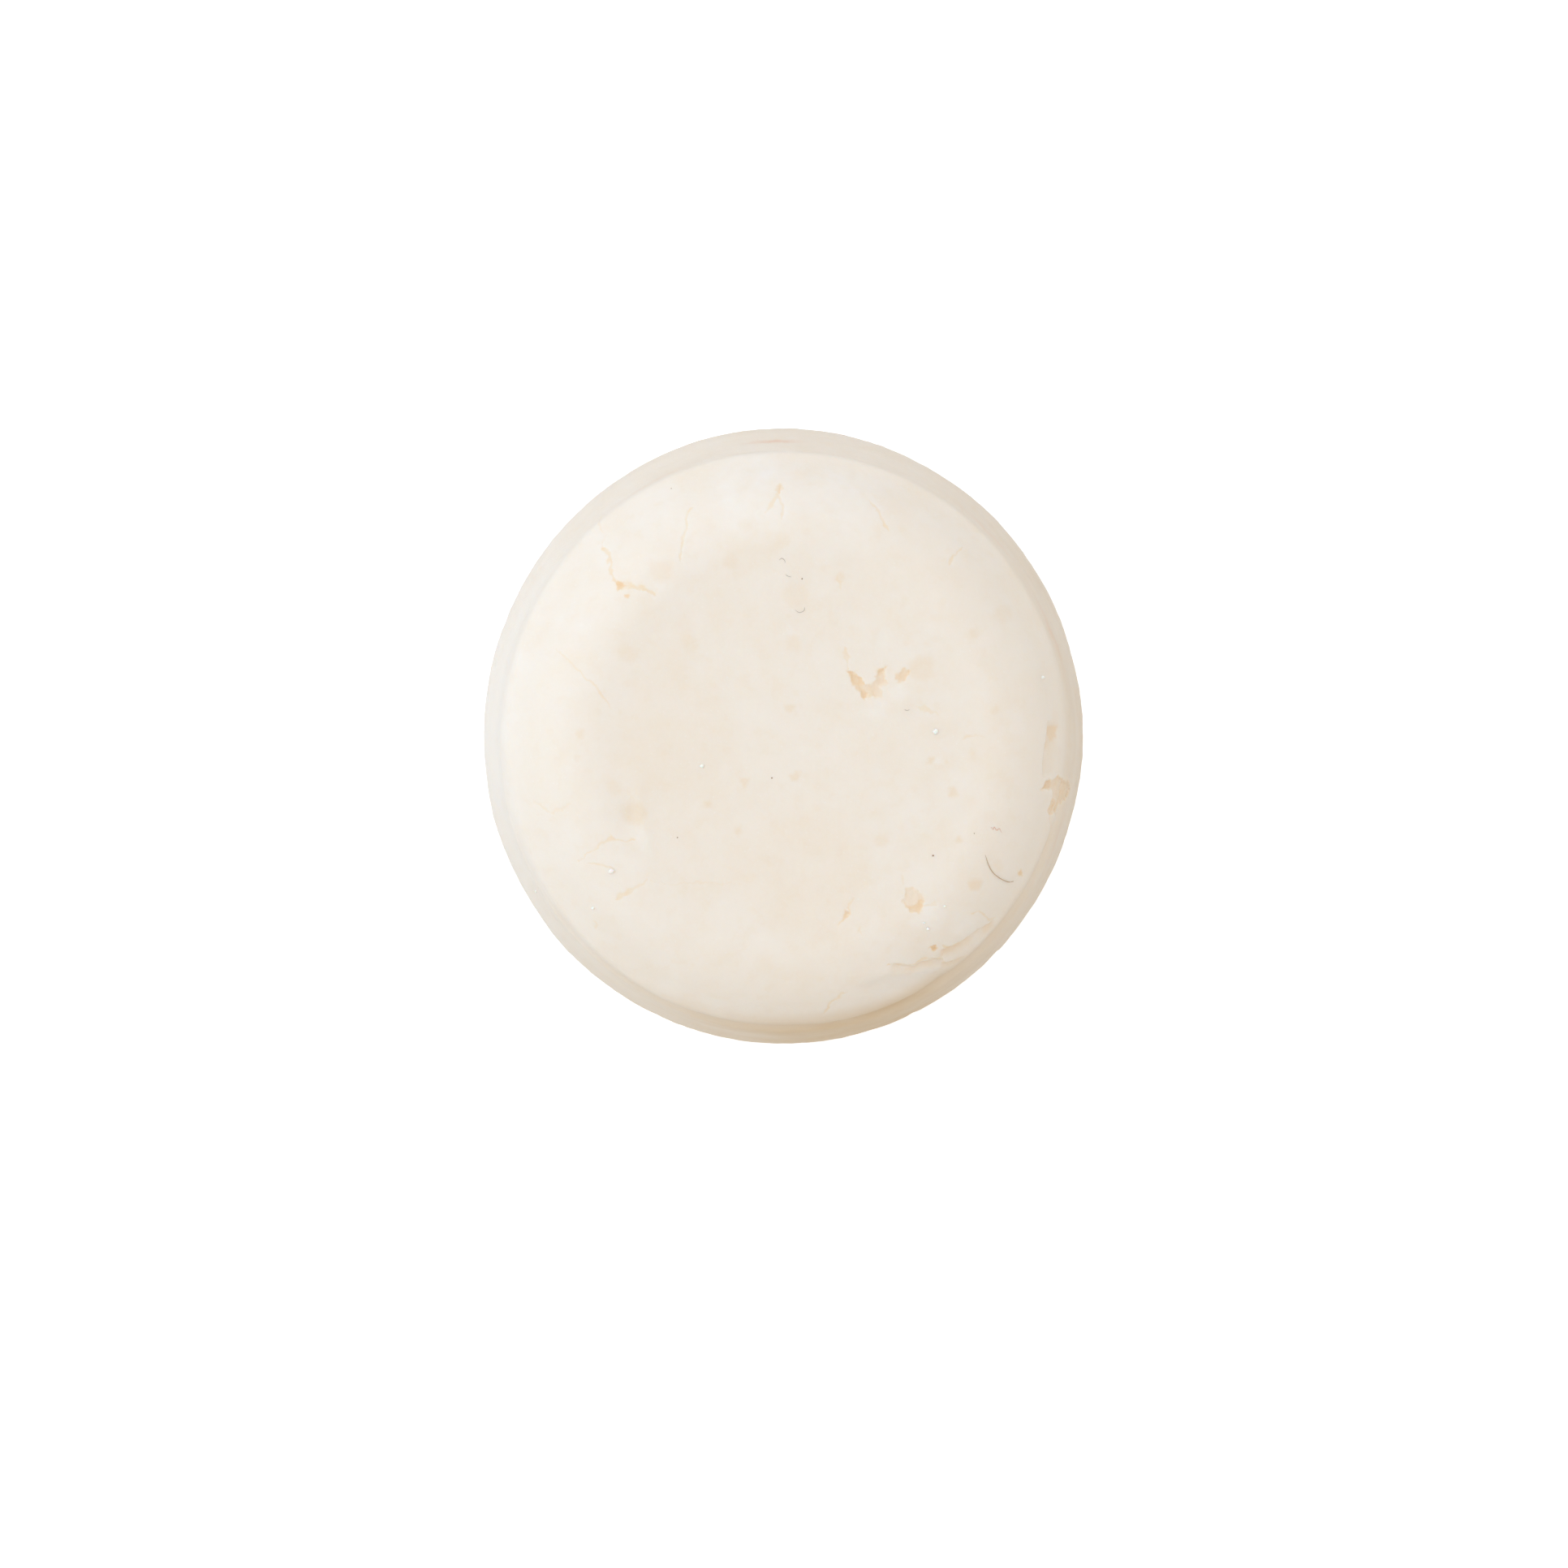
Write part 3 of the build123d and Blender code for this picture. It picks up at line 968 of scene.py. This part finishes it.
def smooth_route(points, steps=6):
    """A rounded line through the points (Catmull-Rom)."""
    p = [2 * np.array(points[0]) - points[1], *map(np.array, points),
         2 * np.array(points[-1]) - points[-2]]
    route = []
    for a, b, c, d in zip(p[:-3], p[1:-2], p[2:-1], p[3:]):
        for k in range(steps):
            t = k / steps
            route.append(0.5 * (2 * b + (c - a) * t + (2 * a - 5 * b + 4 * c - d) * t ** 2
                                + (3 * b - a - 3 * c + d) * t ** 3))
    route.append(np.array(points[-1], float))
    return np.array(route)


def lay_thread(name, points, thick, surface, material, arch=0.0):
    """A thread lying on the puck along a plan route, its middle lifted by an arch."""
    plan = smooth_route(points)
    way = np.linspace(0, 1, len(plan))
    lift = thick * 0.4 + arch * np.sin(math.pi * way)
    route = [(x, y, surface.height(x, y) + up) for (x, y), up in zip(plan, lift)]
    return add_mesh(name, *tube(route, thick / 2), material)


def lump(centre, size, seed):
    """An uneven crumb: a bent low ball, as vertices and faces."""
    rows, columns = 7, 10
    ball = [(0, 0, -1)]
    for r in range(1, rows):
        tilt = math.pi * r / rows
        for c in range(columns):
            turn = 2 * math.pi * c / columns
            ball.append((math.sin(tilt) * math.cos(turn), math.sin(tilt) * math.sin(turn),
                         -math.cos(tilt)))
    ball.append((0, 0, 1))
    ball = np.array(ball)
    ball *= (1 + 0.35 * noise(ball + seed * 3.1, 0.8, seed))[:, None]
    vertices = np.array(centre) + ball * size * LUMP_SHAPE
    faces = [(0, 1 + (c + 1) % columns, 1 + c) for c in range(columns)]
    for r in range(rows - 2):
        for c in range(columns):
            a, b = 1 + r * columns + c, 1 + r * columns + (c + 1) % columns
            faces.append((a, b, b + columns, a + columns))
    last, first = len(ball) - 1, len(ball) - 1 - columns
    faces += [(last, first + c, first + (c + 1) % columns) for c in range(columns)]
    return vertices, faces


def scatter_lumps(name, spots, surface, material, seed, lift):
    pieces = []
    for k, ((x, y), size) in enumerate(spots):
        centre = (x, y, surface.height(x, y) + size * lift)
        pieces.append(add_mesh(f"{name}_{k + 1}", *lump(centre, size, seed + k), material))
    return pieces


# ================================ floor, light, camera ================================

def make_floor():
    """A pale floor that glows a little for the camera, and lights nothing by that."""
    n = Nodes("white_sweep")
    where = n.add("ShaderNodeTexCoord").outputs["Object"]
    shade = n.grain(where, 60.0, 2.0)
    pale, paler = (FLOOR_GREY - 0.01,) * 3, (FLOOR_GREY + 0.01,) * 3
    n.put(n.blend(shade, pale, paler), n.shader.inputs["Base Color"])
    n.put(FLOOR_ROUGHNESS, n.shader.inputs["Roughness"])
    n.put((1.0, 1.0, 1.0), n.shader.inputs["Emission Color"])
    seen = n.add("ShaderNodeLightPath").outputs["Is Camera Ray"]
    n.put(n.calculate("MULTIPLY", seen, FLOOR_GLOW), n.shader.inputs["Emission Strength"])
    half = FLOOR_HALF
    mesh = bpy.data.meshes.new("floor")
    mesh.from_pydata([(-half, -half, 0), (half, -half, 0), (half, half, 0), (-half, half, 0)],
                     [], [(0, 1, 2, 3)])
    mesh.materials.append(n.material)
    floor = bpy.data.objects.new("floor", mesh)
    bpy.context.scene.collection.objects.link(floor)
    return floor


def add_lamp(name, turn, rise, watts, colour):
    """A square soft box aimed at the middle of the puck."""
    data = bpy.data.lights.new(name, "AREA")
    data.size = LAMP_SIZE
    data.energy = watts
    data.color = colour
    turn, rise = math.radians(turn), math.radians(rise)
    place = LAMP_DISTANCE * Vector((math.cos(rise) * math.cos(turn),
                                    math.cos(rise) * math.sin(turn), math.sin(rise)))
    light = bpy.data.objects.new(name, data)
    light.location = place
    aim = Vector((0, 0, HEIGHT * MM / 2)) - place
    light.rotation_euler = aim.to_track_quat("-Z", "Y").to_euler()
    bpy.context.scene.collection.objects.link(light)


def light_studio():
    """Warm light from all round, cooler soft boxes, and white behind everything."""
    world = bpy.data.worlds.new("studio")
    world.use_nodes = True
    tree = world.node_tree
    room = tree.nodes["Background"]
    room.inputs["Color"].default_value = (*ROOM_LIGHT, 1)
    backdrop = tree.nodes.new("ShaderNodeBackground")
    backdrop.inputs["Color"].default_value = (1, 1, 1, 1)
    choose = tree.nodes.new("ShaderNodeMixShader")
    seen = tree.nodes.new("ShaderNodeLightPath")
    tree.links.new(seen.outputs["Is Camera Ray"], choose.inputs[0])
    tree.links.new(room.outputs[0], choose.inputs[1])
    tree.links.new(backdrop.outputs[0], choose.inputs[2])
    tree.links.new(choose.outputs[0], tree.nodes["World Output"].inputs["Surface"])
    bpy.context.scene.world = world
    for name, settings in LAMPS.items():
        add_lamp(name, *settings)


def add_camera():
    data = bpy.data.cameras.new("camera")
    data.lens = CAMERA_LENS
    camera = bpy.data.objects.new("camera", data)
    place, aim = Vector(CAMERA_PLACE) * MM, Vector(CAMERA_AIM) * MM
    look = (aim - place).normalized()
    right = look.cross(Vector((0, 1, 0))).normalized()
    up = right.cross(look)
    turn = Matrix((right, up, -look)).transposed().to_4x4()
    camera.matrix_world = Matrix.Translation(place) @ turn
    bpy.context.scene.collection.objects.link(camera)
    bpy.context.scene.camera = camera


def set_view():
    bpy.context.scene.view_settings.view_transform = "Standard"
    bpy.context.scene.view_settings.look = "None"


# ====================================== the scene ======================================

def build():
    soap, crumb = soap_material(), crumb_material()
    puck, vertices = make_puck(soap)
    surface = Surface(vertices)
    crumbs = scatter_lumps("crumb", CRUMBS, surface, crumb, 101, CRUMB_LIFT)
    dark = fibre_material("dark_speck", SPECK_BROWN)
    specks = scatter_lumps("speck", SPECKS, surface, dark, 131, SPECK_LIFT)
    hair = fibre_material("bristle_brown", BRISTLE_BROWN)
    threads = [lay_thread("stray_bristle", BRISTLE, BRISTLE_THICK, surface, hair,
                          BRISTLE_ARCH)]
    red = fibre_material("red_fibre", FIBRE_RED)
    threads.append(lay_thread("red_fibre", RED_FIBRE, LINT_THICK, surface, red))
    grey = fibre_material("grey_lint", LINT_GREY)
    threads += [lay_thread(f"lint_{k + 1}", points, LINT_THICK, surface, grey)
                for k, points in enumerate(LINT)]
    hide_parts("soap_puck")
    for piece in [puck] + crumbs + specks + threads:
        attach(piece, "root")
    make_floor()
    light_studio()
    add_camera()
    set_view()


build()
